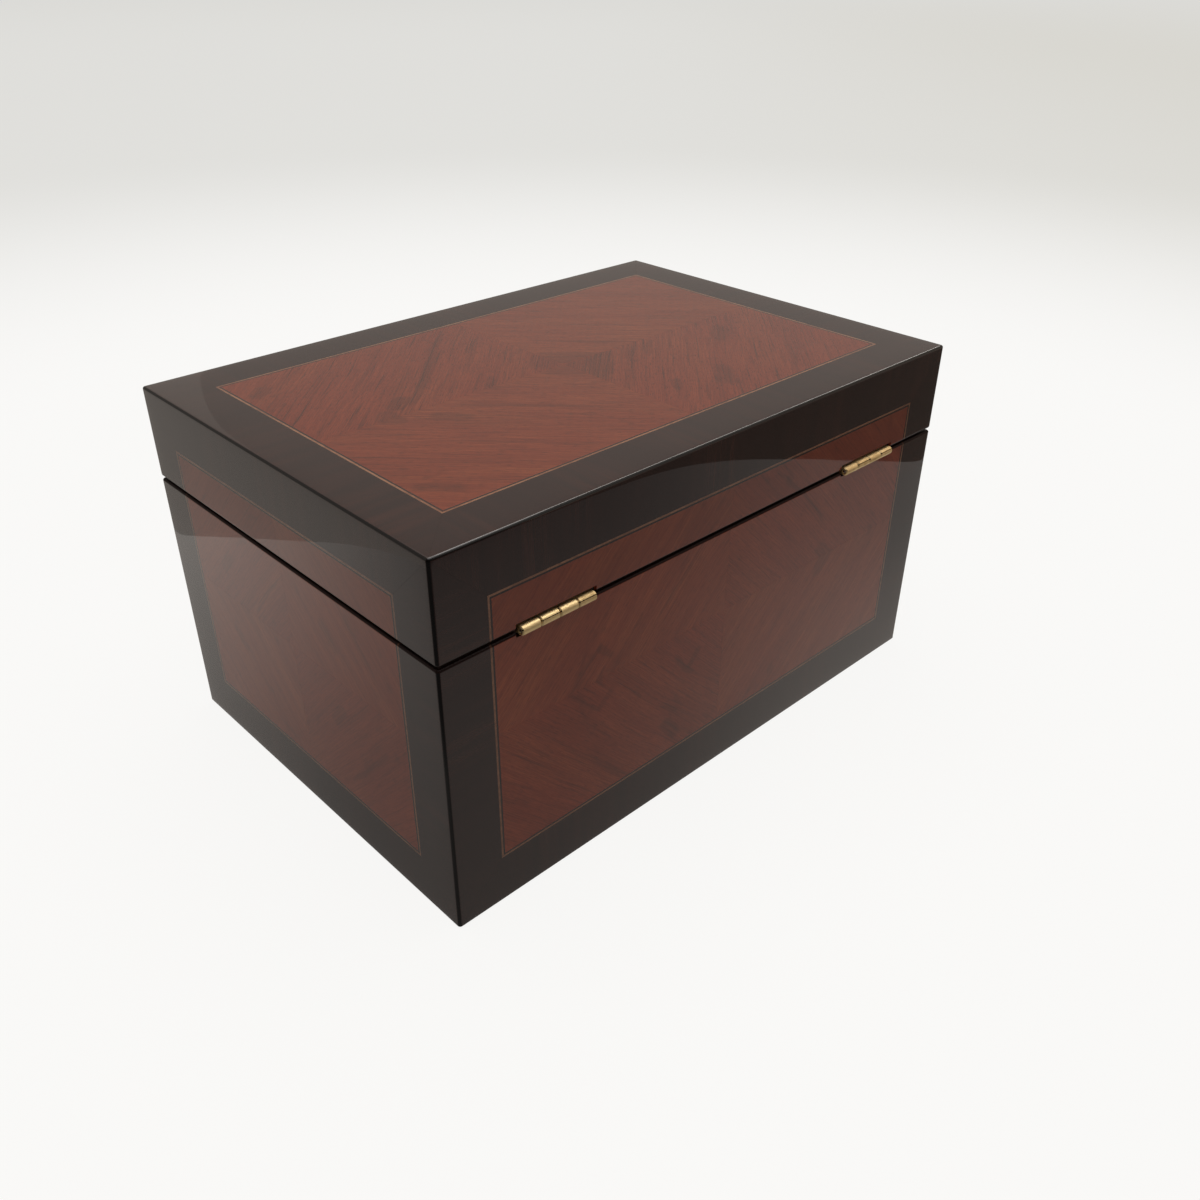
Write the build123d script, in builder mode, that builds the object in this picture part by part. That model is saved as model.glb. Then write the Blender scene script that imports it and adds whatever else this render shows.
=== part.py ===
from build123d import *
from collections import namedtuple
from math import cos, radians, sin, sqrt, tan
import os

# A veneered wooden box with a hinged lid, shown closed, in millimetres. The origin is at the middle of the
# underside, +X runs along the long side, +Y to the back, where the hinges are, and +Z up.

# Outside of the closed box
box_width = 305.0
box_depth = 209.0
box_height = 170.0
lid_height = 43.3            # top to the middle of the seam
seam_gap = 1.0

# Walls, from the outside in
veneer_thickness = 1.5       # veneer and lacquer together
wall_thickness = 12.0
lining_thickness = 5.0
top_thickness = 10.0
floor_thickness = 8.0
floor_rebate = 6.0           # how far the floor reaches into the walls
felt_thickness = 0.8
felt_setback = 1.5           # from the outer faces

# Eased edges
corner_radius = 1.4
top_edge_radius = 1.2
lid_rim_radius = 1.4
base_rim_radius = 1.1
foot_radius = 0.5
edge_to_corner = 0.99        # most that a rim's radius may be, as a share of the corner radius

# Inlay
border_width = 23.0
light_line_width = 0.9
dark_line_width = 0.8
glue_line = 0.03             # hairline between the pieces of one sheet

# Lining and pads
lip_height = 4.5             # the base lining stands this far above the rim
lip_clearance = 0.6          # lip to the walls of the lid
lining_gap = 0.3             # lip to the lid's lining
lining_edge_radius = 0.8
pad_thickness = 4.0
pad_gap = 0.3                # pad to the lining around it
pad_rises = (0, 0.3, 0.6, 0.85, 0.96, 1)     # shares of the pad's thickness
pad_insets = (1.0, 0, 0.4, 2.5, 8.0, 26.0)   # of the pad's edge at each of those heights

# Hinges
hinge_inset = 54.8           # end of the box to the middle of a hinge
hinge_length = 37.0
pin_offset = 0.3             # pin axis outside the back face
barrel_radius = 2.0
knuckle_count = 4
knuckle_gap = 0.3
knuckle_clearance = 0.15     # knuckle to the other leaf
knuckle_bevel = 0.45
leaf_width = 10.5            # pin axis to the leaf's inner edge
leaf_thickness = 1.0
leaf_corner_radius = 0.6
mortise_fit = 0.1
barrel_clearance = 0.35      # barrel to the recess in the base
barrel_headroom = 1.3        # barrel to the recess in the lid
barrel_end_clearance = 1.4
pin_radius = 0.9
pin_end_gap = 0.3            # pin end to barrel end
pin_running_fit = 0.05       # radial, in the lid's knuckles
pin_tight_fit = 0.02         # radial, in the base's knuckles
roll_seam_angle = 33.0       # above the horizontal, on the lid's knuckles
roll_seam_width = 0.35
roll_seam_depth = 0.3

# Screws
screw_head_radius = 1.9
screw_shank_radius = 1.0
screw_length = 8.0
screw_head_angle = 90
screw_tip_length = 2.2
screw_fit = 0.03
screw_slot_width = 0.5
screw_slot_depth = 0.45
hinge_screw_count = 3
hinge_screw_spacing = 13.0
hinge_screw_reach = 6.6      # pin axis to the screws

# Box lock in the front
lock_plate_length = 50.0
lock_plate_width = 7.5
lock_plate_thickness = 1.2
lock_screw_spacing = 43.0
lock_case_width = 36.0
lock_case_height = 20.5
lock_depth = 7.0
lock_wall = 1.0
lug_spacing = 14.0
lug_thickness = 1.6
lug_width = 4.2
lug_drop = 8.7               # below the lid's rim
lug_web = 1.1                # metal under the eye
lug_clearance = 0.4          # lug to the lock case
bolt_travel = 3.2
bolt_gap = 0.3               # bolt to the lock case
finger_thickness = 1.8
finger_height = 2.4
finger_clearance = 0.35      # finger to the eye
finger_start_gap = 0.4       # finger tip to the lug when unlocked
finger_root = 0.8            # finger left of the lug when locked
riser_width = 2.0
bar_height = 3.8
bar_gap = 0.8                # bar of the bolt to the lugs above it
bar_end = 6.0                # bar right of its last riser
talon_radius = 2.5           # notch for the key's bit
rib_height = 1.4
rib_gap = 8.0                # room for the key between the ribs
key_reach = 4.1              # key pin to the underside of the bar
key_pin_radius = 1.0
keyhole_radius = 2.0
key_slot_width = 1.4
key_slot_length = 5.0        # from the middle of the keyhole down
escutcheon_width = 10.0
escutcheon_height = 17.0
escutcheon_proud = 0.3
escutcheon_bevel = 0.25
escutcheon_fit = 0.05

# Room that a cutting shape runs past the face it starts from
overrun = 1.0

# Heights and distances that follow from the sizes above
seam_height = box_height - lid_height
base_bottom = felt_thickness
floor_top = base_bottom + floor_thickness
base_rim = seam_height - seam_gap / 2
lid_rim = seam_height + seam_gap / 2
lip_top = base_rim + lip_height
top_board_top = box_height - veneer_thickness
ceiling = top_board_top - top_thickness
wall_inside = veneer_thickness + wall_thickness
lining_inside = wall_inside + lining_thickness
panel_inset = border_width + light_line_width + dark_line_width
pin_y = box_depth / 2 + pin_offset
hinge_centres = (hinge_inset - box_width / 2, box_width / 2 - hinge_inset)
lock_inner_y = -(box_depth / 2 - wall_inside)
lock_front_y = lock_inner_y - lock_depth
lock_middle_y = (lock_front_y + lock_inner_y) / 2
lock_plate_bottom = base_rim - lock_plate_thickness
lock_bottom = lock_plate_bottom - lock_case_height
lug_bottom = lid_rim - lug_drop
finger_bottom = lug_bottom + lug_web + finger_clearance
finger_top = finger_bottom + finger_height
bar_top = lug_bottom - bar_gap
bar_bottom = bar_top - bar_height
key_height = bar_bottom - key_reach
lug_centres = (-lug_spacing / 2, lug_spacing / 2)
plate_recess_end = lock_plate_length / 2 + mortise_fit
plate_recess_front = lock_inner_y - lock_plate_width - mortise_fit

# The four sides: turn is the angle from the front, reach the distance of the face from the middle
Side = namedtuple("Side", "name turn length reach")
sides = (
    Side("front", 0, box_width, box_depth / 2),
    Side("right", 90, box_depth, box_width / 2),
    Side("back", 180, box_width, box_depth / 2),
    Side("left", 270, box_depth, box_width / 2),
)

# A veneered face: its plane has its origin at the middle of the face
Face = namedtuple("Face", "name plane length height")


def along(side):
    return Vector(1, 0, 0).rotate(Axis.Z, side.turn)


def plan_plane(side, height):
    return Plane(origin=(0, 0, height), x_dir=along(side), z_dir=(0, 0, 1))


def veneered_face(side):
    outward = Vector(0, -1, 0).rotate(Axis.Z, side.turn)
    middle = outward * side.reach + Vector(0, 0, (base_bottom + box_height) / 2)
    plane = Plane(origin=middle, x_dir=along(side), z_dir=outward)
    return Face(side.name, plane, side.length, box_height - base_bottom)


side_faces = [veneered_face(side) for side in sides]
top_face = Face("top", Plane.XY.offset(box_height), box_width, box_depth)


# A box between two corners, for use inside a part
def span_box(low, high, mode=Mode.ADD):
    middle = [(a + b) / 2 for a, b in zip(low, high)]
    size = [abs(b - a) for a, b in zip(low, high)]
    with Locations(tuple(middle)):
        Box(*size, mode=mode)


# Height of the rim that a hinge leaf lies in: direction is -1 for the base and 1 for the lid
def rim_height(direction):
    return seam_height + direction * seam_gap / 2


# Plan of a board with mitred ends that starts a depth inside the outer faces
def mitred_plan(side, depth, thickness):
    outer_end = side.length / 2 - depth
    inner_end = outer_end - thickness
    outer_line = depth - side.reach
    inner_line = outer_line + thickness
    outer = [(-outer_end, outer_line), (outer_end, outer_line)]
    return [*outer, (inner_end, inner_line), (-inner_end, inner_line)]


# Screws, with the head's top at the origin and the shank down, and the pilot holes that they sit in
def screw_profile(fit):
    head = screw_head_radius + fit
    shank = screw_shank_radius + fit
    neck = (shank - head) / tan(radians(screw_head_angle / 2))
    end = screw_length + fit
    return [(0, 0), (head, 0), (shank, neck), (shank, screw_tip_length - end), (fit, -end), (0, -end)]


def turned_screw(fit):
    with BuildPart() as screw:
        with BuildSketch(Plane.XZ):
            Polygon(*screw_profile(fit), align=None)
        revolve(axis=Axis.Z)
    return screw


with BuildPart() as wood_screw:
    add(turned_screw(0))
    span_box(
        (-screw_head_radius, -screw_slot_width / 2, -screw_slot_depth),
        (screw_head_radius, screw_slot_width / 2, overrun),
        mode=Mode.SUBTRACT,
    )

pilot = turned_screw(screw_fit)


# Countersunk holes through a plate
def screw_holes(places):
    with Locations(*places):
        CounterSinkHole(
            screw_shank_radius + screw_fit,
            screw_head_radius + screw_fit,
            depth=screw_length,
            counter_sink_angle=screw_head_angle,
        )


# Screw places: a screw of the base points down and one of the lid points up
def screw_place(x, y, direction):
    return Location((x, y, rim_height(direction)), (90 + 90 * direction, 0, 0))


def hinge_screw_places(direction, centres=hinge_centres):
    first = -(hinge_screw_count - 1) / 2 * hinge_screw_spacing
    steps = [first + step * hinge_screw_spacing for step in range(hinge_screw_count)]
    return [screw_place(x + step, pin_y - hinge_screw_reach, direction) for x in centres for step in steps]


def lock_screw_places(direction):
    y = lock_inner_y - lock_plate_width / 2
    return [screw_place(x, y, direction) for x in (-lock_screw_spacing / 2, lock_screw_spacing / 2)]


def screw_set(places):
    with BuildPart() as screws:
        with Locations(*places):
            add(wood_screw.part)
    return screws


# Recesses in the back of the seam for the hinge leaves, their barrels and screws
def hinge_recess(direction):
    rim = rim_height(direction)
    past_rim = rim - direction * overrun
    past_back = box_depth / 2 + overrun
    headroom = barrel_headroom if direction > 0 else barrel_clearance
    leaf_end = hinge_length / 2 + mortise_fit
    barrel_end = hinge_length / 2 + barrel_end_clearance
    barrel_front = pin_y - barrel_radius - barrel_clearance
    barrel_far = seam_height + direction * (barrel_radius + headroom)
    with BuildPart() as recess:
        for centre in hinge_centres:
            span_box(
                (centre - leaf_end, pin_y - leaf_width - mortise_fit, rim + direction * leaf_thickness),
                (centre + leaf_end, past_back, past_rim),
            )
            span_box(
                (centre - barrel_end, barrel_front, past_rim),
                (centre + barrel_end, past_back, barrel_far),
            )
        with Locations(*hinge_screw_places(direction)):
            add(pilot.part)
    return recess


# Outline of the keyhole, as a sketch to be placed on a plane that faces the front
with BuildSketch() as keyhole:
    Circle(keyhole_radius)
    with Locations((0, -key_slot_length / 2)):
        Rectangle(key_slot_width, key_slot_length)


def front_plane(y, height):
    return Plane(origin=(0, y, height), x_dir=(1, 0, 0), z_dir=(0, -1, 0))


# Mortise for the lock in the front board, with its screws and the way in for the key
with BuildPart() as lock_mortise:
    span_box(
        (-lock_case_width / 2 - mortise_fit, lock_front_y - mortise_fit, lock_bottom - mortise_fit),
        (lock_case_width / 2 + mortise_fit, lock_inner_y + overrun, base_rim + overrun),
    )
    span_box(
        (-plate_recess_end, plate_recess_front, lock_plate_bottom),
        (plate_recess_end, lock_inner_y + overrun, base_rim + overrun),
    )
    with BuildSketch(front_plane(lock_front_y, key_height)):
        add(keyhole.sketch)
    extrude(amount=wall_thickness)
    with Locations(*lock_screw_places(-1)):
        add(pilot.part)


# The escutcheon is let into the front veneer and sits on the front board
def escutcheon_blank(fit, thickness):
    middle = key_height + (keyhole_radius - key_slot_length) / 2
    with BuildPart() as blank:
        with BuildSketch(front_plane(veneer_thickness - box_depth / 2, middle)):
            Ellipse(escutcheon_width / 2 + fit, escutcheon_height / 2 + fit)
        extrude(amount=thickness)
    return blank


escutcheon_hole = escutcheon_blank(escutcheon_fit, veneer_thickness + overrun)

# Recess for the link plate in the lid's front board
with BuildPart() as link_recess:
    span_box(
        (-plate_recess_end, plate_recess_front, lid_rim - overrun),
        (plate_recess_end, lock_inner_y + overrun, lid_rim + lock_plate_thickness),
    )
    with Locations(*lock_screw_places(1)):
        add(pilot.part)

recesses = {
    ("base", "front"): [lock_mortise.part, escutcheon_hole.part],
    ("base", "back"): [hinge_recess(-1).part],
    ("lid", "front"): [link_recess.part],
    ("lid", "back"): [hinge_recess(1).part],
}


# The rounded outside of the base and of the lid, which trims every veneer
def rounded_body(bottom, top, lower_radius, upper_radius):
    with BuildPart() as body:
        with BuildSketch(Plane.XY.offset(bottom)):
            Rectangle(box_width, box_depth)
        extrude(amount=top - bottom)
        fillet(body.edges().filter_by(Axis.Z), corner_radius)
        fillet(body.faces().sort_by(Axis.Z)[0].edges(), min(lower_radius, corner_radius * edge_to_corner))
        fillet(body.faces().sort_by(Axis.Z)[-1].edges(), min(upper_radius, corner_radius * edge_to_corner))
    return body


base_body = rounded_body(base_bottom, base_rim, foot_radius, base_rim_radius)
lid_body = rounded_body(lid_rim, box_height, lid_rim_radius, top_edge_radius)

# The sheet of veneer on top has bevelled edges, which meet those of the four side sheets
with BuildPart() as top_sheet:
    with BuildSketch(Plane.XY.offset(box_height)):
        Rectangle(box_width, box_depth)
    extrude(amount=-veneer_thickness, taper=45)


def side_sheet(side, half, body):
    with BuildPart() as sheet:
        with BuildSketch(plan_plane(side, base_bottom)):
            Polygon(*mitred_plan(side, 0, veneer_thickness), align=None)
        extrude(amount=box_height - base_bottom)
        add(top_sheet.part, mode=Mode.SUBTRACT)
        add(body.part, mode=Mode.INTERSECT)
        for recess in recesses.get((half, side.name), []):
            add(recess, mode=Mode.SUBTRACT)
    return sheet


base_sheets = [side_sheet(side, "base", base_body) for side in sides]
lid_sheets = [side_sheet(side, "lid", lid_body) for side in sides]
with BuildPart() as trimmed_top:
    add(top_sheet.part)
    add(lid_body.part, mode=Mode.INTERSECT)


# Four strips round a face, between two distances from its edges, mitred where they meet
def strip_outlines(face, outer, inner):
    u_out = face.length / 2 - outer
    v_out = face.height / 2 - outer
    u_in = face.length / 2 - inner
    v_in = face.height / 2 - inner
    shift = glue_line / sqrt(2)
    flat_out = u_out - shift
    flat_in = u_in - shift
    upright_out = v_out - shift
    upright_in = v_in - shift
    flat = [(-flat_out, -v_out), (flat_out, -v_out), (flat_in, -v_in), (-flat_in, -v_in)]
    upright = [(-u_out, -upright_out), (-u_in, -upright_in), (-u_in, upright_in), (-u_out, upright_out)]
    return [flat, [(u, -v) for u, v in flat], upright, [(-u, v) for u, v in upright]]


# The four leaves of a panel, which meet at the middle of the face
def leaf_outlines(face, inset):
    near = glue_line / 2
    u_far = face.length / 2 - inset
    v_far = face.height / 2 - inset
    corner = [(near, near), (u_far, near), (u_far, v_far), (near, v_far)]
    return [[(u * across, v * up) for u, v in corner] for across in (-1, 1) for up in (-1, 1)]


# What the outlines leave of a sheet
def cut_from(sheet, face, outlines):
    with BuildPart() as piece:
        with BuildSketch(face.plane.offset(overrun)):
            for outline in outlines:
                Polygon(*outline, align=None)
        extrude(amount=-(veneer_thickness + 2 * overrun))
        add(sheet.part, mode=Mode.INTERSECT)
    return piece


def lines_on(sheets, faces, outer, inner):
    with BuildPart() as lines:
        for sheet, face in zip(sheets, faces):
            add(cut_from(sheet, face, strip_outlines(face, outer, inner)).part)
    return lines


def border_on(sheet, face):
    return cut_from(sheet, face, strip_outlines(face, -overrun, border_width))


def panel_on(sheet, face):
    return cut_from(sheet, face, leaf_outlines(face, panel_inset))


# Core boards, mitred at the corners, with a rebate for the floor in those of the base
def core_board(side, half, bottom, top):
    with BuildPart() as board:
        with BuildSketch(plan_plane(side, bottom)):
            Polygon(*mitred_plan(side, veneer_thickness, wall_thickness), align=None)
        extrude(amount=top - bottom)
        if half == "base":
            add(floor_board.part, mode=Mode.SUBTRACT)
        for recess in recesses.get((half, side.name), []):
            add(recess, mode=Mode.SUBTRACT)
    return board


# Lining boards, mitred too: those of the base are thinned where they reach into the lid
def lining_board(side, bottom, top, has_lip):
    with BuildPart() as board:
        with BuildSketch(plan_plane(side, bottom)):
            Polygon(*mitred_plan(side, wall_inside, lining_thickness), align=None)
        extrude(amount=top - bottom)
        if has_lip:
            with BuildSketch(plan_plane(side, base_rim)):
                Polygon(*mitred_plan(side, wall_inside, lip_clearance), align=None)
            extrude(amount=lip_height, mode=Mode.SUBTRACT)
        open_end = board.faces().sort_by(Axis.Z)[-1 if has_lip else 0]
        direction = Axis((0, 0, 0), along(side))
        fillet(open_end.edges().filter_by(direction), lining_edge_radius)
    return board


# A padded board: it swells out of its seat, is drawn in at its foot, and has a low crown
def padded_board(seat, direction):
    width = box_width - 2 * (lining_inside + pad_gap)
    depth = box_depth - 2 * (lining_inside + pad_gap)
    with BuildPart() as pad:
        for rise, inset in zip(pad_rises, pad_insets):
            with BuildSketch(Plane.XY.offset(seat + direction * rise * pad_thickness)):
                Rectangle(width - 2 * inset, depth - 2 * inset)
        loft(ruled=True)
    return pad


# One leaf of a hinge, with its own knuckles rolled round the pin
def hinge_leaf(centre, direction):
    rim = rim_height(direction)
    knuckle_length = hinge_length / knuckle_count
    own_first = 0 if direction < 0 else 1
    fit = pin_tight_fit if direction < 0 else pin_running_fit
    starts = [centre + hinge_length / 2 - (index + 1) * knuckle_length for index in range(knuckle_count)]
    own = starts[own_first::2]
    others = starts[1 - own_first::2]
    with BuildPart() as leaf:
        span_box(
            (centre - hinge_length / 2, pin_y - leaf_width, rim),
            (centre + hinge_length / 2, pin_y, rim + direction * leaf_thickness),
        )
        fillet(leaf.edges().filter_by(Axis.Z).group_by(Axis.Y)[0], leaf_corner_radius)
        for start in others:
            with BuildSketch(Plane.YZ.offset(start - knuckle_gap / 2)):
                with Locations((pin_y, seam_height)):
                    Circle(barrel_radius + knuckle_clearance)
            extrude(amount=knuckle_length + knuckle_gap, mode=Mode.SUBTRACT)
        for start in own:
            with Locations(Location((start + knuckle_length / 2, pin_y, seam_height), (0, 90, 0))):
                add(bevelled_knuckle.part)
        with Locations(Location((centre, pin_y, seam_height), (0, 90, 0))):
            Cylinder(pin_radius + fit, hinge_length + 2 * overrun, mode=Mode.SUBTRACT)
        screw_holes(hinge_screw_places(direction, (centre,)))
        if direction > 0:
            seam_y = pin_y + barrel_radius * cos(radians(roll_seam_angle))
            seam_z = seam_height + barrel_radius * sin(radians(roll_seam_angle))
            for start in own:
                middle = (start + knuckle_length / 2, seam_y, seam_z)
                with Locations(Location(middle, (roll_seam_angle, 0, 0))):
                    Box(knuckle_length, 2 * roll_seam_depth, roll_seam_width, mode=Mode.SUBTRACT)
    return leaf


with BuildPart() as bevelled_knuckle:
    Cylinder(barrel_radius, hinge_length / knuckle_count - knuckle_gap)
    chamfer(bevelled_knuckle.edges(), knuckle_bevel)


def hinge_pin(centre):
    with BuildPart() as pin:
        with Locations(Location((centre, pin_y, seam_height), (0, 90, 0))):
            Cylinder(pin_radius, hinge_length - 2 * pin_end_gap)
        fillet(pin.edges(), pin_radius / 2)
    return pin


# Base: floor, felt, boards, veneers, lining and pad
with BuildPart() as floor_board:
    reach = wall_inside - floor_rebate
    with BuildSketch(Plane.XY.offset(base_bottom)):
        Rectangle(box_width - 2 * reach, box_depth - 2 * reach)
    extrude(amount=floor_thickness)

with BuildPart() as felt:
    with BuildSketch():
        Rectangle(box_width - 2 * felt_setback, box_depth - 2 * felt_setback)
    extrude(amount=felt_thickness)

# Lid: the top board lies on the four side boards
with BuildPart() as top_board:
    with BuildSketch(Plane.XY.offset(ceiling)):
        Rectangle(box_width - 2 * veneer_thickness, box_depth - 2 * veneer_thickness)
    extrude(amount=top_thickness)

# Lock case: a plate flush with the rim, and below it a box that is open to the inside of the base
with BuildPart() as lock_case:
    span_box(
        (-lock_case_width / 2, lock_front_y, lock_bottom),
        (lock_case_width / 2, lock_inner_y - lock_wall, lock_plate_bottom),
    )
    span_box(
        (lock_wall - lock_case_width / 2, lock_front_y + lock_wall, lock_bottom + lock_wall),
        (lock_case_width / 2 - lock_wall, lock_inner_y, lock_plate_bottom),
        mode=Mode.SUBTRACT,
    )
    span_box(
        (-lock_plate_length / 2, lock_inner_y - lock_plate_width, lock_plate_bottom),
        (lock_plate_length / 2, lock_inner_y, base_rim),
    )
    for lug in lug_centres:
        slot_half = lug_thickness / 2 + lug_clearance
        slot_reach = lug_width / 2 + lug_clearance
        span_box(
            (lug - slot_half, lock_middle_y - slot_reach, lock_plate_bottom),
            (lug + slot_half, lock_middle_y + slot_reach, base_rim),
            mode=Mode.SUBTRACT,
        )
    # Two ribs carry the bolt, with room for the key between them
    for end in (-1, 1):
        span_box(
            (end * rib_gap / 2, lock_front_y, bar_bottom - bolt_gap - rib_height),
            (end * lock_case_width / 2, lock_inner_y - lock_wall, bar_bottom - bolt_gap),
        )
    with BuildSketch(front_plane(lock_front_y + lock_wall, key_height)):
        add(keyhole.sketch)
    extrude(amount=lock_wall, mode=Mode.SUBTRACT)
    screw_holes(lock_screw_places(-1))

# The cap closes the case and carries the pin that the key turns on
with BuildPart() as lock_cap:
    span_box(
        (-lock_case_width / 2, lock_inner_y - lock_wall, lock_bottom),
        (lock_case_width / 2, lock_inner_y, lock_plate_bottom),
    )
    with BuildSketch(front_plane(lock_inner_y - lock_wall, key_height)):
        Circle(key_pin_radius)
    extrude(amount=lock_depth - lock_wall)

# Bolt: a bar with two risers, each with a finger that slides through the eye of a lug
with BuildPart() as lock_bolt:
    riser_rights = []
    for lug in lug_centres:
        tip = lug - lug_thickness / 2 - finger_start_gap
        riser_right = tip - bolt_travel - finger_root
        riser_rights.append(riser_right)
        span_box(
            (riser_right - riser_width, lock_middle_y - finger_thickness / 2, bar_bottom),
            (riser_right, lock_middle_y + finger_thickness / 2, finger_top),
        )
        span_box(
            (riser_right - riser_width, lock_middle_y - finger_thickness / 2, finger_bottom),
            (tip, lock_middle_y + finger_thickness / 2, finger_top),
        )
    bar_half = lock_depth / 2 - lock_wall - bolt_gap
    span_box(
        (riser_rights[0] - riser_width, lock_middle_y - bar_half, bar_bottom),
        (riser_rights[-1] + bar_end, lock_middle_y + bar_half, bar_top),
    )
    with Locations(Location((-bolt_travel / 2, lock_middle_y, bar_bottom), (90, 0, 0))):
        Cylinder(talon_radius, 2 * lock_depth, mode=Mode.SUBTRACT)

# Link plate in the lid's rim, with two lugs that drop into the lock
with BuildPart() as link_plate:
    span_box(
        (-lock_plate_length / 2, lock_inner_y - lock_plate_width, lid_rim),
        (lock_plate_length / 2, lock_inner_y, lid_rim + lock_plate_thickness),
    )
    for lug in lug_centres:
        span_box(
            (lug - lug_thickness / 2, lock_middle_y - lug_width / 2, lug_bottom),
            (lug + lug_thickness / 2, lock_middle_y + lug_width / 2, lid_rim),
        )
        eye = finger_thickness / 2 + finger_clearance
        span_box(
            (lug - lug_thickness, lock_middle_y - eye, finger_bottom - finger_clearance),
            (lug + lug_thickness, lock_middle_y + eye, finger_top + finger_clearance),
            mode=Mode.SUBTRACT,
        )
    screw_holes(lock_screw_places(1))

# Escutcheon round the keyhole
with BuildPart() as escutcheon:
    add(escutcheon_blank(0, veneer_thickness + escutcheon_proud))
    chamfer(escutcheon.faces().sort_by(Axis.Y)[0].edges(), escutcheon_bevel)
    with BuildSketch(front_plane(veneer_thickness - box_depth / 2, key_height)):
        add(keyhole.sketch)
    extrude(amount=veneer_thickness + escutcheon_proud, mode=Mode.SUBTRACT)


# Name each finished piece and write it out
os.makedirs("parts", exist_ok=True)


def write_piece(piece, name):
    piece.part.label = name
    export_step(piece.part, f"parts/{name}.step")


write_piece(felt, "base_felt")
write_piece(floor_board, "base_floor_board")
write_piece(padded_board(floor_top, 1), "base_floor_pad")
write_piece(top_board, "lid_top_board")
write_piece(padded_board(ceiling, -1), "lid_top_pad")

for side, face, sheet in zip(sides, side_faces, base_sheets):
    write_piece(core_board(side, "base", base_bottom, base_rim), f"base_{side.name}_board")
    write_piece(lining_board(side, floor_top, lip_top, True), f"base_{side.name}_lining")
    write_piece(border_on(sheet, face), f"base_{side.name}_border")
    write_piece(panel_on(sheet, face), f"base_{side.name}_panel")

for side in sides:
    write_piece(core_board(side, "lid", lid_rim, ceiling), f"lid_{side.name}_board")
    write_piece(lining_board(side, lip_top + lining_gap, ceiling, False), f"lid_{side.name}_lining")

lid_faces = [*side_faces, top_face]
lid_sheets.append(trimmed_top)
for face, sheet in zip(lid_faces, lid_sheets):
    write_piece(border_on(sheet, face), f"lid_{face.name}_border")
    write_piece(panel_on(sheet, face), f"lid_{face.name}_panel")

for half, sheets, faces in (("base", base_sheets, side_faces), ("lid", lid_sheets, lid_faces)):
    light_edge = border_width + light_line_width
    write_piece(lines_on(sheets, faces, border_width, light_edge), f"{half}_light_stringing")
    write_piece(lines_on(sheets, faces, light_edge, panel_inset), f"{half}_dark_stringing")

for hand, centre in zip(("left", "right"), hinge_centres):
    write_piece(hinge_leaf(centre, -1), f"{hand}_hinge_base_leaf")
    write_piece(hinge_leaf(centre, 1), f"{hand}_hinge_lid_leaf")
    write_piece(hinge_pin(centre), f"{hand}_hinge_pin")

write_piece(screw_set(hinge_screw_places(-1)), "base_hinge_screws")
write_piece(screw_set(hinge_screw_places(1)), "lid_hinge_screws")
write_piece(lock_case, "lock_case")
write_piece(lock_cap, "lock_cap")
write_piece(lock_bolt, "lock_bolt")
write_piece(screw_set(lock_screw_places(-1)), "lock_screws")
write_piece(link_plate, "lock_link_plate")
write_piece(screw_set(lock_screw_places(1)), "link_plate_screws")
write_piece(escutcheon, "keyhole_escutcheon")
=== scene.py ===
import math

import bmesh
import bpy
from mathutils import Matrix, Vector, noise


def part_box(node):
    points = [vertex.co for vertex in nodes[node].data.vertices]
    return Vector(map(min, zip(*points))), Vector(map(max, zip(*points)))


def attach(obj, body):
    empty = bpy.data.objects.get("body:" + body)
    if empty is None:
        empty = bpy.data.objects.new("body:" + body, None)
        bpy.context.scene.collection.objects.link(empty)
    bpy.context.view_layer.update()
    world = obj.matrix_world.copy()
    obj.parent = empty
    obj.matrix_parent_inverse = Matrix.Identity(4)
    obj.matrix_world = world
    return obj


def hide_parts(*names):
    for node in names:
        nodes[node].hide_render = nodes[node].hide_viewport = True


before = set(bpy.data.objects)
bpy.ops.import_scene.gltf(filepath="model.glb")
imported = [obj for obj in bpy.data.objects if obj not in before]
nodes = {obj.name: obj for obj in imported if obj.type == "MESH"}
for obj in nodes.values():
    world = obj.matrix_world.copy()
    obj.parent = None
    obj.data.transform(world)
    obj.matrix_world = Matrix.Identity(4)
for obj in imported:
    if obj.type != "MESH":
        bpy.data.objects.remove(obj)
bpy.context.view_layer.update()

mm = 0.001
print("frame loaded:", len(nodes), "nodes")


# Camera at the photograph's angle
viewpoint = {
    "location": (0.32521, 0.36398, 0.34591),
    "turned": (58.1824, -0.2951, 136.3456),    # degrees about X, Y and Z
    "lens": 33.255,
    "sensor": 36.0,
    "clip": (0.01, 60.0),
}
scene = bpy.context.scene


def placeCamera(look):
    data = bpy.data.cameras.new("camera")
    data.lens = look["lens"]
    data.sensor_width = look["sensor"]
    data.clip_start, data.clip_end = look["clip"]
    camera = bpy.data.objects.new("camera", data)
    camera.location = look["location"]
    camera.rotation_euler = [math.radians(angle) for angle in look["turned"]]
    scene.collection.objects.link(camera)
    scene.camera = camera


placeCamera(viewpoint)
scene.view_settings.view_transform = "Standard"
print("camera placed")


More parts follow.
